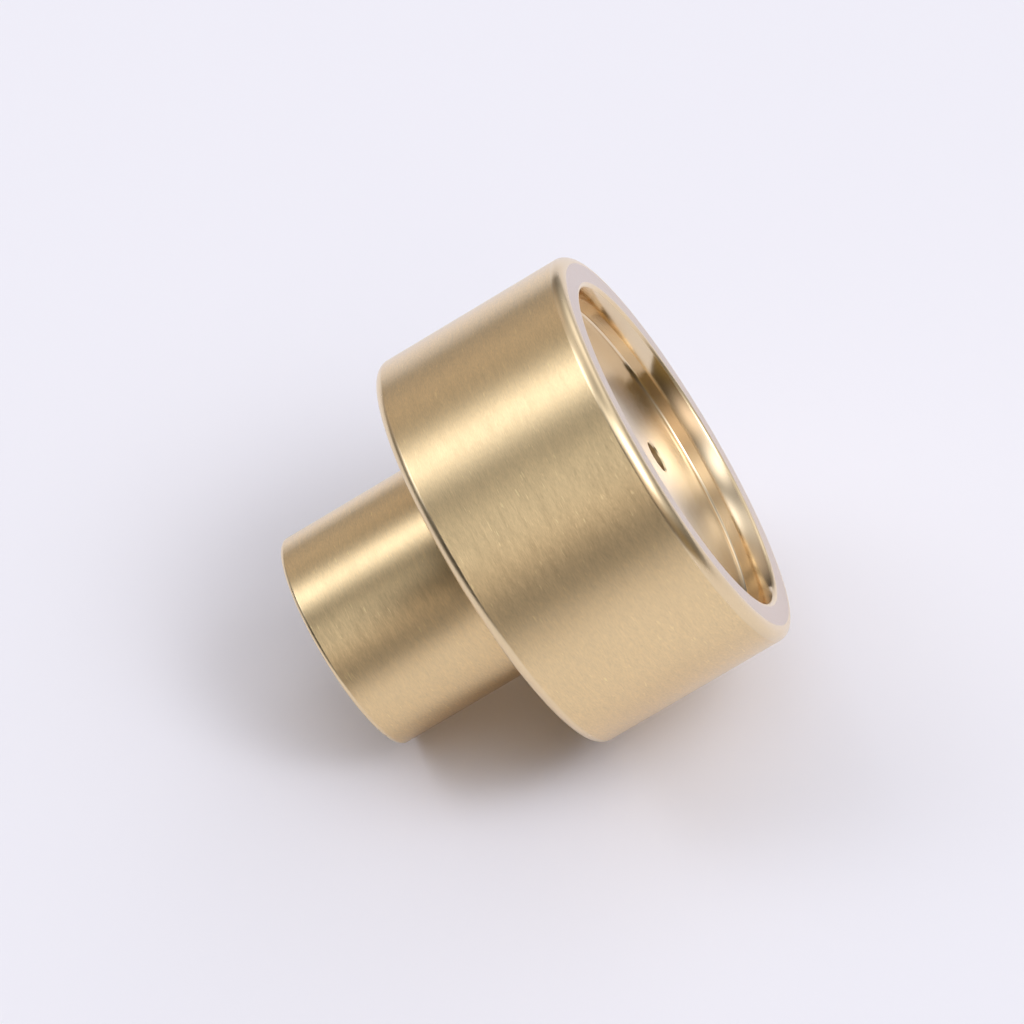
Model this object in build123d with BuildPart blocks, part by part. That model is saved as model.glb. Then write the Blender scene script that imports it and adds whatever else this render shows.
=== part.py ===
from build123d import *
import math
import os

# A turned brass furniture knob in two halves: a wide head with a shallow round recess in its
# front, and a narrower neck that stands on the furniture. A set screw on the axis is the hidden
# stud that holds the two together, and a tapped blind hole in the neck's foot takes the fixing
# screw. Two small blind holes in the recess floor take a pin spanner, to screw the head tight.
# Millimetres; the axis is +Z, z = 0 is the neck's foot and the recess opens at the top. The
# spanner holes lie along Y.

os.makedirs("parts", exist_ok=True)

# ---- Head -------------------------------------------------------------------------------
head_diameter = 30.0
head_length = 15.0
front_edge_round = 0.8        # outer edge of the front rim
back_edge_round = 0.7         # outer edge of the head's back
recess_diameter = 24.4        # straight lower part of the wall
recess_depth = 2.14           # to the flat floor
recess_flare_height = 0.85    # above the floor; from here up the wall opens in a slight curve
recess_flare_radius = 4.7     # of that curve, which bulges towards the axis
recess_mouth_diameter = 25.0  # where the curve would meet the front, before its edge is rounded
recess_lip_round = 0.3        # inner edge of the front rim
recess_corner_round = 0.22    # tool radius between wall and floor
spanner_hole_diameter = 2.3
spanner_hole_spacing = 5.0    # between the centres of the pair
spanner_hole_depth = 2.0      # full diameter; the drill's point goes on below it
spanner_hole_chamfer = 0.1

# ---- Neck -------------------------------------------------------------------------------
neck_diameter = 16.2
neck_length = 12.0
foot_edge_round = 0.3
spigot_diameter = 10.0
spigot_length = 5.0
spigot_chamfer = 0.5

# ---- Stud and threads (M4, drawn as plain cylinders at their nominal diameter) -----------
thread_diameter = 4.0
thread_chamfer = 0.4
running_gap = 0.02            # radial, between the stud and its holes and round the spigot
stud_length = 10.0
stud_reach_into_neck = 6.0
stud_chamfer = 0.5
stud_key_across_flats = 2.0
stud_key_depth = 2.5
stud_end_gap = 0.3            # between the stud's ends and the bottoms of its holes
fixing_hole_depth = 8.4       # full diameter; the drill's point goes on below it
drill_point_angle = 118.0

# ---- Worked out from the above ----------------------------------------------------------
head_radius = head_diameter / 2
neck_radius = neck_diameter / 2
recess_radius = recess_diameter / 2
spigot_radius = spigot_diameter / 2
thread_radius = thread_diameter / 2
spanner_hole_radius = spanner_hole_diameter / 2
spanner_hole_offset = spanner_hole_spacing / 2
overall_length = neck_length + head_length
spigot_top = neck_length + spigot_length
socket_top = spigot_top + stud_end_gap
stud_bottom = spigot_top - stud_reach_into_neck
stud_top = stud_bottom + stud_length
recess_floor = overall_length - recess_depth
flare_foot = recess_floor + recess_flare_height
mouth_radius = recess_mouth_diameter / 2
drill_slope = math.tan(math.radians(drill_point_angle / 2))
fixing_point_length = thread_radius / drill_slope
spanner_point_length = spanner_hole_radius / drill_slope


# The head's outline, turned about the axis: back face, barrel, front rim, recess wall and floor.
# Its two outer edges, the recess lip and the recess's inside corner are rounded afterwards.
with BuildPart() as knob_head:
    with BuildSketch(Plane.XZ):
        with BuildLine():
            Polyline(
                (mouth_radius, overall_length),
                (head_radius, overall_length),
                (head_radius, neck_length),
                (0, neck_length),
                (0, recess_floor),
                (recess_radius, recess_floor),
                (recess_radius, flare_foot),
            )
            RadiusArc(
                (recess_radius, flare_foot),
                (mouth_radius, overall_length),
                recess_flare_radius,
            )
        make_face()
    revolve(axis=Axis.Z)

    front_edges = knob_head.edges().filter_by(GeomType.CIRCLE).group_by(Axis.Z)[-1]
    fillet(front_edges.sort_by(SortBy.RADIUS)[-1], radius=front_edge_round)
    front_edges = knob_head.edges().filter_by(GeomType.CIRCLE).group_by(Axis.Z)[-1]
    fillet(front_edges.sort_by(SortBy.RADIUS)[0], radius=recess_lip_round)
    barrel = knob_head.faces().filter_by(GeomType.CYLINDER).sort_by(SortBy.RADIUS)[-1]
    fillet(barrel.edges().group_by(Axis.Z)[0], radius=back_edge_round)
    wall = knob_head.faces().filter_by(GeomType.CYLINDER).sort_by(SortBy.RADIUS)[0]
    fillet(wall.edges().group_by(Axis.Z)[0], radius=recess_corner_round)

    # the pair of spanner holes: straight bores, drilled points, eased mouths
    with BuildSketch(Plane.XY.offset(recess_floor)):
        with Locations((0, spanner_hole_offset), (0, -spanner_hole_offset)):
            Circle(spanner_hole_radius)
    extrude(amount=-spanner_hole_depth, mode=Mode.SUBTRACT)
    bores = knob_head.faces().filter_by(GeomType.CYLINDER).sort_by(SortBy.RADIUS)[:2]
    chamfer(bores.edges().group_by(Axis.Z)[-1], length=spanner_hole_chamfer)
    point_height = recess_floor - spanner_hole_depth - spanner_point_length / 2
    with Locations(
        (0, spanner_hole_offset, point_height),
        (0, -spanner_hole_offset, point_height),
    ):
        Cone(
            bottom_radius=0,
            top_radius=spanner_hole_radius,
            height=spanner_point_length,
            mode=Mode.SUBTRACT,
        )

    # socket for the neck's spigot, in the back
    with BuildSketch(Plane.XY.offset(neck_length)):
        Circle(spigot_radius + running_gap)
    extrude(amount=socket_top - neck_length, mode=Mode.SUBTRACT)
    # threaded hole for the stud, above the socket
    with BuildSketch(Plane.XY.offset(socket_top)):
        Circle(thread_radius + running_gap)
    extrude(amount=stud_top + stud_end_gap - socket_top, mode=Mode.SUBTRACT)
knob_head.part.label = "knob_head"


# The neck: a plain turned post with a spigot on top that centres the head.
with BuildPart() as knob_neck:
    with BuildSketch():
        Circle(neck_radius)
    extrude(amount=neck_length)
    fillet(knob_neck.edges().group_by(Axis.Z)[0], radius=foot_edge_round)
    with BuildSketch(Plane.XY.offset(neck_length)):
        Circle(spigot_radius)
    extrude(amount=spigot_length)
    chamfer(knob_neck.edges().group_by(Axis.Z)[-1], length=spigot_chamfer)

    # threaded hole for the stud, from the spigot's top
    with BuildSketch(Plane.XY.offset(spigot_top)):
        Circle(thread_radius + running_gap)
    extrude(amount=-(stud_reach_into_neck + stud_end_gap), mode=Mode.SUBTRACT)

    # tapped fixing hole in the foot: full diameter, a drilled point, and a chamfered mouth
    with BuildSketch(Plane.XZ):
        with BuildLine():
            Polyline(
                (0, 0),
                (thread_radius + thread_chamfer, 0),
                (thread_radius, thread_chamfer),
                (thread_radius, fixing_hole_depth),
                (0, fixing_hole_depth + fixing_point_length),
                close=True,
            )
        make_face()
    revolve(axis=Axis.Z, mode=Mode.SUBTRACT)
knob_neck.part.label = "knob_neck"


# The stud: an M4 socket set screw. Its hexagon socket lets it be driven into the neck first;
# the head is then screwed onto its free end.
with BuildPart() as joining_stud:
    with BuildSketch(Plane.XY.offset(stud_bottom)):
        Circle(thread_radius)
    extrude(amount=stud_length)
    chamfer(joining_stud.edges().filter_by(GeomType.CIRCLE), length=stud_chamfer)
    with BuildSketch(Plane.XY.offset(stud_top)):
        RegularPolygon(radius=stud_key_across_flats / 2, side_count=6, major_radius=False)
    extrude(amount=-stud_key_depth, mode=Mode.SUBTRACT)
joining_stud.part.label = "joining_stud"


export_step(knob_head.part, "parts/knob_head.step")
export_step(knob_neck.part, "parts/knob_neck.step")
export_step(joining_stud.part, "parts/joining_stud.step")
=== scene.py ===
"""Looks of the turned brass cabinet knob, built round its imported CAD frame.

The head and the neck are turned again here as fine meshes with exact normals, so that the brushed
metal reflects cleanly. The stud keeps its CAD shape. Everything is in metres, with the knob's axis
along +Z and its foot at z = 0; lengths named below are in millimetres.
"""
import math

import bpy
from mathutils import Matrix, Vector
from mathutils.geometry import tessellate_polygon


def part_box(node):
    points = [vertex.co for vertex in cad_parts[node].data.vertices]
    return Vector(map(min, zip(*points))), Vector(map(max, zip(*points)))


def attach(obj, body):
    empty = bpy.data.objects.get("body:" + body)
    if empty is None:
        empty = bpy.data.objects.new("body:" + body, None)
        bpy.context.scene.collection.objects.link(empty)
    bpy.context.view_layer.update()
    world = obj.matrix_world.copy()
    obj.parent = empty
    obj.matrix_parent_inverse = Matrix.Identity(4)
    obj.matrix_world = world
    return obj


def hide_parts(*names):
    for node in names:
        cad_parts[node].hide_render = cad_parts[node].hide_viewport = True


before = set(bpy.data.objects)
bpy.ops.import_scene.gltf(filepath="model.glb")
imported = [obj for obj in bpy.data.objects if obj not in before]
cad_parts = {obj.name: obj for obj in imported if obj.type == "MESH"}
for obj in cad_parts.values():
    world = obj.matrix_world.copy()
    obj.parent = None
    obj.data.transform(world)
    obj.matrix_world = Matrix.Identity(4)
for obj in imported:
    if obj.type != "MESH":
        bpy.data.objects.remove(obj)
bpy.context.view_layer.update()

MM = 0.001
scene = bpy.context.scene

# ---- Sizes, from the frame's boxes where a box gives them --------------------------------
head_low, head_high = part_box("knob_head")
neck_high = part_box("knob_neck")[1]
stud_low, stud_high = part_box("joining_stud")
HEAD_RADIUS = head_high.x / MM
HEAD_BACK = head_low.z / MM
HEAD_FRONT = head_high.z / MM
NECK_RADIUS = neck_high.x / MM
SPIGOT_TOP = neck_high.z / MM
STUD_RADIUS = stud_high.x / MM
STUD_BOTTOM = stud_low.z / MM
STUD_TOP = stud_high.z / MM

# The rest of the turned outline, as in the CAD source
FRONT_ROUND = 0.8
BACK_ROUND = 0.7
RECESS_RADIUS = 12.2
RECESS_DEPTH = 2.14
FLARE_HEIGHT = 0.85
FLARE_RADIUS = 4.7
MOUTH_RADIUS = 12.5
LIP_ROUND = 0.3
CORNER_ROUND = 0.22
SPANNER_HOLE_RADIUS = 1.15
SPANNER_HOLE_OFFSET = 2.5
SPANNER_HOLE_DEPTH = 2.0
SPANNER_HOLE_CHAMFER = 0.1
FOOT_ROUND = 0.3
SPIGOT_RADIUS = 5.0
SPIGOT_CHAMFER = 0.5
FIT_GAP = 0.02
STUD_END_GAP = 0.3
THREAD_RADIUS = 2.0
THREAD_CHAMFER = 0.4
THREAD_PITCH = 0.7
FIXING_DEPTH = 8.4
DRILL_SLOPE = math.tan(math.radians(59))

# ---- Turned meshes ------------------------------------------------------------------------
TURNS = 384          # faces round the knob's axis
HOLE_TURNS = 96      # faces round a spanner hole
ARC_STEP = math.radians(6)


def line(start, end, region):
    """A straight run of an outline, with its outward normal to the right of its direction."""
    (r0, z0), (r1, z1) = start, end
    length = math.hypot(r1 - r0, z1 - z0)
    normal = ((z1 - z0) / length, (r0 - r1) / length)
    return [(r0, z0, *normal), (r1, z1, *normal)], region


def arc(centre, radius, start_deg, end_deg, region):
    """A round run. It bulges outward when it turns anticlockwise and is a hollow otherwise."""
    start, end = math.radians(start_deg), math.radians(end_deg)
    sign = 1 if end > start else -1
    steps = max(2, round(abs(end - start) / ARC_STEP))
    points = []
    for i in range(steps + 1):
        a = start + (end - start) * i / steps
        c, s = math.cos(a), math.sin(a)
        points.append((centre[0] + radius * c, centre[1] + radius * s, sign * c, sign * s))
    return points, region


def turned(runs, turns, centre=(0, 0)):
    """Faces of an outline turned about an upright axis: lists of (position, normal) and a region."""
    faces = []
    for points, region in runs:
        for k in range(turns):
            a0, a1 = 2 * math.pi * k / turns, 2 * math.pi * (k + 1) / turns
            for (ra, za, na, ma), (rb, zb, nb, mb) in zip(points, points[1:]):
                corners = []
                for r, z, n, m, a in ((ra, za, na, ma, a0), (ra, za, na, ma, a1),
                                      (rb, zb, nb, mb, a1), (rb, zb, nb, mb, a0)):
                    c, s = math.cos(a), math.sin(a)
                    place = (centre[0] + r * c, centre[1] + r * s, z)
                    if not corners or math.dist(place, corners[-1][0]) > 1e-6:
                        corners.append((place, (n * c, n * s, m)))
                if math.dist(corners[0][0], corners[-1][0]) < 1e-6:
                    corners.pop()
                faces.append((corners, region))
    return faces


def ring(radius, z, turns, centre=(0, 0)):
    """Points round a circle, at the same places as turned() puts them."""
    angles = [2 * math.pi * k / turns for k in range(turns)]
    return [Vector((centre[0] + radius * math.cos(a), centre[1] + radius * math.sin(a), z))
            for a in angles]


def mesh_piece(name, faces, materials):
    """One welded mesh from faces, with the normals given at every corner."""
    places, index = [], {}
    loops, normals, regions = [], [], []
    for corners, region in faces:
        loop = []
        for place, normal in corners:
            key = tuple(round(x * 1e5) for x in place)
            if key not in index:
                index[key] = len(places)
                places.append([x * MM for x in place])
            loop.append(index[key])
            normals.append(normal)
        loops.append(loop)
        regions.append(region)
    mesh = bpy.data.meshes.new(name)
    mesh.from_pydata(places, [], loops)
    order = list(dict.fromkeys(regions))
    for region in order:
        mesh.materials.append(materials[region])
    for polygon, region in zip(mesh.polygons, regions):
        polygon.use_smooth = True
        polygon.material_index = order.index(region)
    mesh.update()
    mesh.normals_split_custom_set([Vector(n).normalized() for n in normals])
    piece = bpy.data.objects.new(name, mesh)
    scene.collection.objects.link(piece)
    return piece


# ---- Materials ------------------------------------------------------------------------------
class Shader:
    """The node tree of a material or the world, with short ways to add and join its nodes."""

    def __init__(self, owner):
        owner.use_nodes = True
        self.tree = owner.node_tree
        self.tree.nodes.clear()

    def put(self, socket, value):
        if isinstance(value, bpy.types.NodeSocket):
            self.tree.links.new(value, socket)
        elif isinstance(value, tuple) and len(value) == 3 and socket.type == "RGBA":
            socket.default_value = (*value, 1)
        else:
            socket.default_value = value

    def node(self, kind, fields=None, **sockets):
        """Adds a node, sets its own fields, then its inputs by name (an underscore is a space)."""
        made = self.tree.nodes.new(kind)
        for field, value in (fields or {}).items():
            setattr(made, field, value)
        for name, value in sockets.items():
            self.put(made.inputs[name.replace("_", " ")], value)
        return made

    def math(self, operation, *values):
        made = self.node("ShaderNodeMath", {"operation": operation})
        for socket, value in zip(made.inputs, values):
            self.put(socket, value)
        return made.outputs[0]

    def vector(self, operation, *values):
        made = self.node("ShaderNodeVectorMath", {"operation": operation})
        for socket, value in zip(made.inputs, values):
            self.put(socket, value)
        return made.outputs["Value" if operation == "DOT_PRODUCT" else "Vector"]

    def scaled(self, vector, factor):
        made = self.node("ShaderNodeVectorMath", {"operation": "SCALE"}, Scale=factor)
        self.put(made.inputs[0], vector)
        return made.outputs["Vector"]

    def spread(self, value, low, high, to_low, to_high):
        """Carries a range of values over to another, held at its ends."""
        return self.node("ShaderNodeMapRange", Value=value, From_Min=low, From_Max=high,
                         To_Min=to_low, To_Max=to_high).outputs[0]

    def vary(self, value, noise, amount):
        """value, moved up and down by amount as a noise runs from 0 to 1."""
        return self.math("MULTIPLY_ADD", self.math("SUBTRACT", noise, 0.5), amount, value)

    def noise(self, scale, detail=2.0, roughness=0.5, seed=0.0):
        """Noise over the object, scale being its features per millimetre along x, y and z."""
        place = self.node("ShaderNodeTexCoord").outputs["Object"]
        place = self.vector("MULTIPLY", place, tuple(x / MM for x in scale))
        place = self.vector("ADD", place, (seed, seed * 1.7, seed * 0.6))
        return self.node("ShaderNodeTexNoise", Vector=place, Scale=1.0, Detail=detail,
                         Roughness=roughness).outputs[0]

    def finish(self, surface, socket="Surface", kind="ShaderNodeOutputMaterial"):
        self.put(self.node(kind).inputs[socket], surface)


LACQUER = 0.35               # weight of the clear coat on the outside
LACQUER_ROUGHNESS = 0.15
AROUND = 0.25                # turns the blur's long side across the grooves
NO_TINT = (1, 1, 1)


def brass(name, colour, roughness, grain, streaks, groove, scratches=0.0, coat=LACQUER,
          glance=NO_TINT):
    """Lacquered brass worked round the knob's axis.

    grain is how much more the metal blurs across its grooves than along them, streaks the
    strength of its light and dark streaks, groove the depth of its bump in millimetres,
    scratches the strength of its sparse short scratches and coat the weight of its lacquer.
    glance tints only what it reflects at a grazing angle, where lacquered brass loses its yellow.
    """
    made = bpy.data.materials.new(name)
    s = Shader(made)
    fine = s.noise((2.8, 2.8, 15.0), detail=2.0, roughness=0.6)
    broad = s.noise((0.6, 0.6, 4.0), seed=3.0)
    cloud = s.noise((0.12, 0.12, 0.12), detail=3.0, seed=7.0)
    marks = s.spread(s.noise((1.3, 1.3, 9.0), detail=0.0, seed=11.0), 0.76, 0.84, 0.0, scratches)

    tone = s.vary(s.vary(s.vary(1.0, fine, streaks * 2.0), broad, streaks), cloud, 0.05)
    tone = s.math("ADD", tone, marks)
    rough = s.vary(s.vary(roughness, broad, roughness * 0.35), cloud, roughness * 0.25)
    rough = s.math("MULTIPLY_ADD", marks, 0.3, rough)
    height = s.math("MULTIPLY_ADD", broad, 0.6, fine)
    height = s.math("MULTIPLY_ADD", marks, -2.0, height)

    bump = s.node("ShaderNodeBump", Strength=1.0, Distance=groove * MM, Height=height)
    tangent = s.node("ShaderNodeTangent", {"direction_type": "RADIAL", "axis": "Z"})
    s.finish(s.node(
        "ShaderNodeBsdfPrincipled",
        Base_Color=s.scaled(colour, tone), Metallic=1.0, Roughness=rough, Specular_Tint=glance,
        Normal=bump.outputs[0], Anisotropic=grain, Anisotropic_Rotation=AROUND,
        Tangent=tangent.outputs[0], Coat_Weight=coat, Coat_Roughness=LACQUER_ROUGHNESS,
    ).outputs[0])
    return made


BRASS = (0.84, 0.66, 0.40)
BRUSHED_BRASS = (0.87, 0.66, 0.36)
TURNED_BRASS = (0.79, 0.635, 0.42)
# Painted shade: the plain brass darkened by a fifth, for the shade inside the bores, the spanner
# holes and the thread
SHADED_BRASS = tuple(0.8 * c for c in BRASS)
NEUTRAL_GLANCE = (0.78, 0.78, 0.9)
finishes = {
    "satin": brass("brass_satin", BRUSHED_BRASS, roughness=0.38, grain=0.95,
                   streaks=0.20, groove=0.005, scratches=0.22),
    "edge": brass("brass_edge", BRASS, roughness=0.30, grain=0.5,
                  streaks=0.05, groove=0.002, scratches=0.06),
    "face": brass("brass_faced", BRASS, roughness=0.25, grain=0.6,
                  streaks=0.04, groove=0.002, scratches=0.05, coat=0.5, glance=NEUTRAL_GLANCE),
    "wall": brass("brass_wall", TURNED_BRASS, roughness=0.13, grain=0.6,
                  streaks=0.02, groove=0.0004),
    "floor": brass("brass_floor", TURNED_BRASS, roughness=0.19, grain=0.7,
                   streaks=0.03, groove=0.0006),
    "bore": brass("brass_bore", SHADED_BRASS, roughness=0.4, grain=0.3,
                  streaks=0.10, groove=0.01, coat=0.0),
}


def steel(name):
    """Dull steel of a set screw, with fine turning marks and darker patches."""
    made = bpy.data.materials.new(name)
    s = Shader(made)
    cloud = s.noise((0.6, 0.6, 0.6), detail=4.0, seed=5.0)
    turning = s.noise((1.0, 1.0, 12.0), seed=9.0)
    bump = s.node("ShaderNodeBump", Strength=1.0, Distance=0.01 * MM, Height=turning)
    s.finish(s.node(
        "ShaderNodeBsdfPrincipled",
        Base_Color=s.scaled((0.36, 0.36, 0.37), s.vary(1.0, cloud, 0.5)), Metallic=1.0,
        Roughness=s.vary(0.42, cloud, 0.25), Normal=bump.outputs[0],
    ).outputs[0])
    return made


# ---- The head -----------------------------------------------------------------------------
recess_floor = HEAD_FRONT - RECESS_DEPTH
socket_radius = SPIGOT_RADIUS + FIT_GAP
stud_hole_radius = STUD_RADIUS + FIT_GAP
socket_top = SPIGOT_TOP + STUD_END_GAP
stud_hole_top = STUD_TOP + STUD_END_GAP
floor_radius = RECESS_RADIUS - CORNER_ROUND
corner_centre = (floor_radius, recess_floor + CORNER_ROUND)

# The recess wall's flare is part of a circle whose centre lies in the metal. The lip's own round
# touches that circle and the front face.
flare_foot = recess_floor + FLARE_HEIGHT
chord = (MOUTH_RADIUS - RECESS_RADIUS, HEAD_FRONT - flare_foot)
set_off = math.sqrt((FLARE_RADIUS / math.hypot(*chord)) ** 2 - 0.25)
flare_centre = (RECESS_RADIUS + chord[0] / 2 + set_off * chord[1],
                flare_foot + chord[1] / 2 - set_off * chord[0])
lip_height = HEAD_FRONT - LIP_ROUND
lip_reach = math.sqrt((FLARE_RADIUS - LIP_ROUND) ** 2 - (lip_height - flare_centre[1]) ** 2)
lip_centre = (flare_centre[0] - lip_reach, lip_height)


def flare_angle(point):
    return math.degrees(math.atan2(point[1] - flare_centre[1], point[0] - flare_centre[0]))


flare_top = flare_angle(lip_centre)
flare_bottom = flare_angle((RECESS_RADIUS, flare_foot))
front_centre = (HEAD_RADIUS - FRONT_ROUND, HEAD_FRONT - FRONT_ROUND)
back_centre = (HEAD_RADIUS - BACK_ROUND, HEAD_BACK + BACK_ROUND)

head_outline = [
    line((0, stud_hole_top), (stud_hole_radius, stud_hole_top), "bore"),
    line((stud_hole_radius, stud_hole_top), (stud_hole_radius, socket_top), "bore"),
    line((stud_hole_radius, socket_top), (socket_radius, socket_top), "bore"),
    line((socket_radius, socket_top), (socket_radius, HEAD_BACK), "bore"),
    line((socket_radius, HEAD_BACK), (back_centre[0], HEAD_BACK), "face"),
    arc(back_centre, BACK_ROUND, -90, 0, "edge"),
    line((HEAD_RADIUS, back_centre[1]), (HEAD_RADIUS, front_centre[1]), "satin"),
    arc(front_centre, FRONT_ROUND, 0, 90, "edge"),
    line((front_centre[0], HEAD_FRONT), (lip_centre[0], HEAD_FRONT), "face"),
    arc(lip_centre, LIP_ROUND, 90, flare_top, "edge"),
    arc(flare_centre, FLARE_RADIUS, flare_top, flare_bottom, "wall"),
    line((RECESS_RADIUS, flare_foot), (RECESS_RADIUS, corner_centre[1]), "wall"),
    arc(corner_centre, CORNER_ROUND, 0, -90, "wall"),
]
mouth_radius = SPANNER_HOLE_RADIUS + SPANNER_HOLE_CHAMFER
hole_shoulder = recess_floor - SPANNER_HOLE_CHAMFER
hole_bottom = recess_floor - SPANNER_HOLE_DEPTH
hole_outline = [
    line((mouth_radius, recess_floor), (SPANNER_HOLE_RADIUS, hole_shoulder), "edge"),
    line((SPANNER_HOLE_RADIUS, hole_shoulder), (SPANNER_HOLE_RADIUS, hole_bottom), "bore"),
    line((SPANNER_HOLE_RADIUS, hole_bottom),
         (0, hole_bottom - SPANNER_HOLE_RADIUS / DRILL_SLOPE), "bore"),
]

head_faces = turned(head_outline, TURNS)
floor_rings = [ring(floor_radius, recess_floor, TURNS)]
for side in (1, -1):
    hole_centre = (0, side * SPANNER_HOLE_OFFSET)
    head_faces += turned(hole_outline, HOLE_TURNS, hole_centre)
    floor_rings.append(ring(mouth_radius, recess_floor, HOLE_TURNS, hole_centre))
floor_points = [point for loop in floor_rings for point in loop]
for triangle in tessellate_polygon(floor_rings):
    a, b, c = (floor_points[i] for i in triangle)
    if (b - a).cross(c - a).z < 0:
        b, c = c, b
    head_faces.append(([(tuple(point), (0, 0, 1)) for point in (a, b, c)], "floor"))
head = mesh_piece("knob_head_finish", head_faces, finishes)
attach(head, "root")
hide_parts("knob_head")

# ---- The neck -----------------------------------------------------------------------------
foot_centre = (NECK_RADIUS - FOOT_ROUND, FOOT_ROUND)
chamfer_start = SPIGOT_TOP - SPIGOT_CHAMFER
spigot_land = SPIGOT_RADIUS - SPIGOT_CHAMFER
mouth = THREAD_RADIUS + THREAD_CHAMFER
stud_hole_bottom = STUD_BOTTOM - STUD_END_GAP
neck_outline = [
    line((0, FIXING_DEPTH + THREAD_RADIUS / DRILL_SLOPE), (THREAD_RADIUS, FIXING_DEPTH), "bore"),
    line((THREAD_RADIUS, FIXING_DEPTH), (THREAD_RADIUS, THREAD_CHAMFER), "bore"),
    line((THREAD_RADIUS, THREAD_CHAMFER), (mouth, 0), "face"),
    line((mouth, 0), (foot_centre[0], 0), "face"),
    arc(foot_centre, FOOT_ROUND, -90, 0, "edge"),
    line((NECK_RADIUS, FOOT_ROUND), (NECK_RADIUS, HEAD_BACK), "satin"),
    line((NECK_RADIUS, HEAD_BACK), (SPIGOT_RADIUS, HEAD_BACK), "face"),
    line((SPIGOT_RADIUS, HEAD_BACK), (SPIGOT_RADIUS, chamfer_start), "face"),
    line((SPIGOT_RADIUS, chamfer_start), (spigot_land, SPIGOT_TOP), "face"),
    line((spigot_land, SPIGOT_TOP), (stud_hole_radius, SPIGOT_TOP), "face"),
    line((stud_hole_radius, SPIGOT_TOP), (stud_hole_radius, stud_hole_bottom), "bore"),
    line((stud_hole_radius, stud_hole_bottom), (0, stud_hole_bottom), "bore"),
]
neck = mesh_piece("knob_neck_finish", turned(neck_outline, TURNS), finishes)
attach(neck, "root")
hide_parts("knob_neck")

# ---- The fixing hole's thread and the stud --------------------------------------------------
STEPS_A_TURN = 64
RIDGE_HEIGHT = THREAD_PITCH * 0.5
RIDGE_ROOTING = 0.02         # how far the ridge reaches into the metal
crest, root = THREAD_RADIUS - RIDGE_HEIGHT, THREAD_RADIUS + RIDGE_ROOTING
half_root, half_crest = THREAD_PITCH * 0.42, THREAD_PITCH * 0.08
thread_length = FIXING_DEPTH - 2.0 * THREAD_PITCH
turns = int((thread_length - THREAD_CHAMFER) / THREAD_PITCH)
section = [(root, -half_root), (crest, -half_crest), (crest, half_crest), (root, half_root)]
places, faces = [], []
for k in range(turns * STEPS_A_TURN + 1):
    angle = 2 * math.pi * k / STEPS_A_TURN
    rise = THREAD_CHAMFER + THREAD_PITCH * (0.5 + k / STEPS_A_TURN)
    for r, z in section:
        places.append((r * math.cos(angle) * MM, r * math.sin(angle) * MM, (z + rise) * MM))
for k in range(turns * STEPS_A_TURN):
    for i in range(4):
        j = (i + 1) % 4
        faces.append((4 * k + i, 4 * k + j, 4 * k + 4 + j, 4 * k + 4 + i))
faces += [(3, 2, 1, 0), tuple(len(places) - 4 + i for i in range(4))]
thread_mesh = bpy.data.meshes.new("fixing_thread_ridge")
thread_mesh.from_pydata(places, [], faces)
thread_mesh.materials.append(finishes["bore"])
thread_mesh.update()
thread = bpy.data.objects.new("fixing_thread_ridge", thread_mesh)
scene.collection.objects.link(thread)
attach(thread, "root")

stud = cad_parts["joining_stud"]
stud.data.materials.clear()
stud.data.materials.append(steel("steel_stud"))

# ---- Camera: the photograph's viewing angle -------------------------------------------------
VIEW_ELEVATION = math.radians(11.27)     # above the plane of the knob's face
VIEW_ROLL = math.radians(59.33)          # lays the knob over on its side
VIEW_DISTANCE = 542.3
LOOKING_DOWN = math.radians(45.7)        # of the camera, over the table the knob lies on
FRONT_RIGHT, FRONT_UP = 11.27, 4.62      # of the face's centre from the middle of the view
SENSOR_WIDTH = 36.0
LENS = 281.25
NEAREST, FARTHEST = 0.01, 10.0           # that the camera sees, in metres

back = Vector((0, -math.cos(VIEW_ELEVATION), math.sin(VIEW_ELEVATION)))
level_right = Vector((1, 0, 0))
level_up = back.cross(level_right)
right = level_right * math.cos(VIEW_ROLL) + level_up * math.sin(VIEW_ROLL)
above = level_up * math.cos(VIEW_ROLL) - level_right * math.sin(VIEW_ROLL)
eye = Vector((0, 0, HEAD_FRONT)) - right * FRONT_RIGHT - above * FRONT_UP + back * VIEW_DISTANCE

camera = bpy.data.objects.new("camera", bpy.data.cameras.new("camera"))
scene.collection.objects.link(camera)
camera.matrix_world = Matrix.Translation(eye * MM) @ Matrix(
    (right, above, back)).transposed().to_4x4()
camera.data.sensor_width = SENSOR_WIDTH
camera.data.lens = LENS
camera.data.clip_start, camera.data.clip_end = NEAREST, FARTHEST
scene.camera = camera

# Directions over the table the knob lies on: up, and towards the viewer
up = above * math.cos(LOOKING_DOWN) + back * math.sin(LOOKING_DOWN)
near = (back - up * back.dot(up)).normalized()


# ---- Table: touched by the neck's foot and by the head's back edge ---------------------------
def lowest(radius, height, rounding):
    """How low a rounded turned edge reaches, measured along up."""
    return height * up.z - radius * math.hypot(up.x, up.y) - rounding


table_height = min(lowest(foot_centre[0], foot_centre[1], FOOT_ROUND),
                   lowest(back_centre[0], back_centre[1], BACK_ROUND))
TABLE_REACH = 1.5            # from its middle, in metres
PALE_LAVENDER = (0.88, 0.87, 0.91)
table_mesh = bpy.data.meshes.new("table")
table_mesh.from_pydata(
    [(x * TABLE_REACH, y * TABLE_REACH, 0) for x, y in ((-1, -1), (1, -1), (1, 1), (-1, 1))],
    [], [(0, 1, 2, 3)])
table = bpy.data.objects.new("table", table_mesh)
scene.collection.objects.link(table)
table.rotation_mode = "QUATERNION"
table.rotation_quaternion = up.to_track_quat("Z", "Y")
table.location = up * table_height * MM

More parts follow.
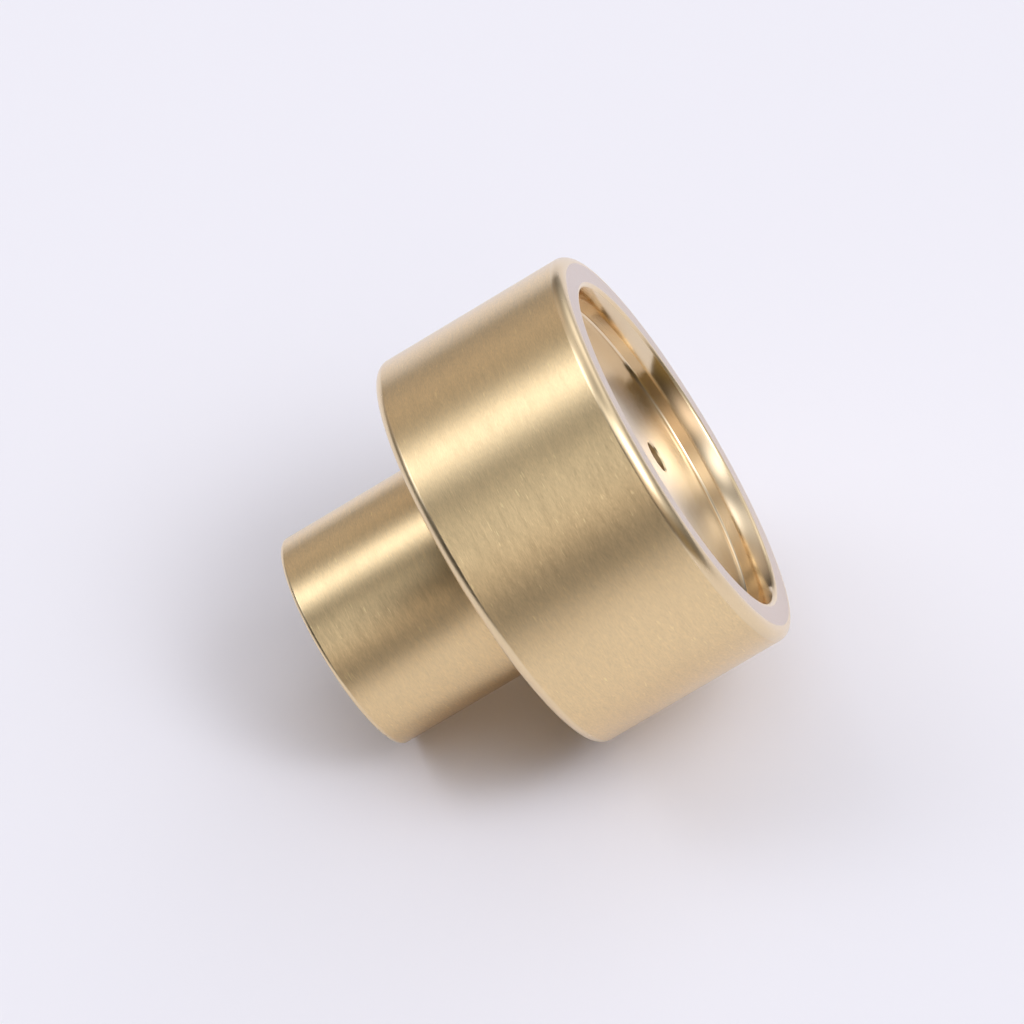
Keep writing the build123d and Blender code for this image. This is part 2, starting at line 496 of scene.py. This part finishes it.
# The paper is drawn from above only, so that a view from below sees the knob
paper = bpy.data.materials.new("table_paper")
s = Shader(paper)
sheet = s.node("ShaderNodeBsdfDiffuse", Color=PALE_LAVENDER)
unseen = s.node("ShaderNodeBsdfTransparent")
facing = s.node("ShaderNodeNewGeometry").outputs["Backfacing"]
one_sided = s.node("ShaderNodeMixShader", Fac=facing)
s.put(one_sided.inputs[1], sheet.outputs[0])
s.put(one_sided.inputs[2], unseen.outputs[0])
s.finish(one_sided.outputs[0])
table_mesh.materials.append(paper)

# ---- Light: a dim room with a few large soft windows and panels ------------------------------
# Each is placed in degrees: its bearing round the table, from the viewer's side towards the right,
# and its height above the table. Then come its spread in degrees, its strength and its tint.
COOL = (0.97, 0.99, 1.07)
PLAIN = (1.0, 1.0, 1.05)
WARM = (1.1, 0.95, 0.85)
AMBER = (1.4, 1.0, 0.4)
WINDOW, PANEL = 10, 15
soft_lights = {
    "window_right": (60, 55, WINDOW, 7.0, COOL),
    "window_left": (-100, 50, WINDOW, 4.0, COOL),
    "ceiling_near": (-10, 70, WINDOW, 2.0, PLAIN),
    "ceiling_far": (-160, 65, PANEL, 0.8, PLAIN),
    "panel_behind_viewer": (15, 40, WINDOW, 1.2, WARM),
    "panel_before_face": (100, 40, PANEL, 1.0, PLAIN),
    "far_wall_right": (150, 30, PANEL, 1.5, PLAIN),
    "far_wall_left": (-145, 25, PANEL, 0.6, WARM),
    "glow_low_right": (45, 5, PANEL, 0.2, AMBER),
}
ROOM = (0.01, 0.01, 0.01)

world = bpy.data.worlds.new("studio")
scene.world = world
s = Shader(world)
looking = s.vector("NORMALIZE", s.node("ShaderNodeTexCoord").outputs["Generated"])
light = ROOM
for bearing, height, spread, strength, tint in soft_lights.values():
    turn, tilt = math.radians(bearing), math.radians(height)
    level = near * math.cos(turn) + right * math.sin(turn)
    direction = level * math.cos(tilt) + up * math.sin(tilt)
    closeness = s.vector("DOT_PRODUCT", looking, tuple(direction))
    focus = 1 / math.radians(spread) ** 2
    falloff = s.math("EXPONENT", s.math("MULTIPLY", s.math("SUBTRACT", closeness, 1.0), focus))
    light = s.vector("ADD", light, s.scaled(tuple(strength * c for c in tint), falloff))
s.finish(s.node("ShaderNodeBackground", Color=light).outputs[0], kind="ShaderNodeOutputWorld")

# Light goes round the recess wall in many shallow bounces
BOUNCES = 16
scene.cycles.max_bounces = BOUNCES
scene.cycles.glossy_bounces = BOUNCES

scene.view_settings.view_transform = "Standard"
scene.view_settings.look = "None"
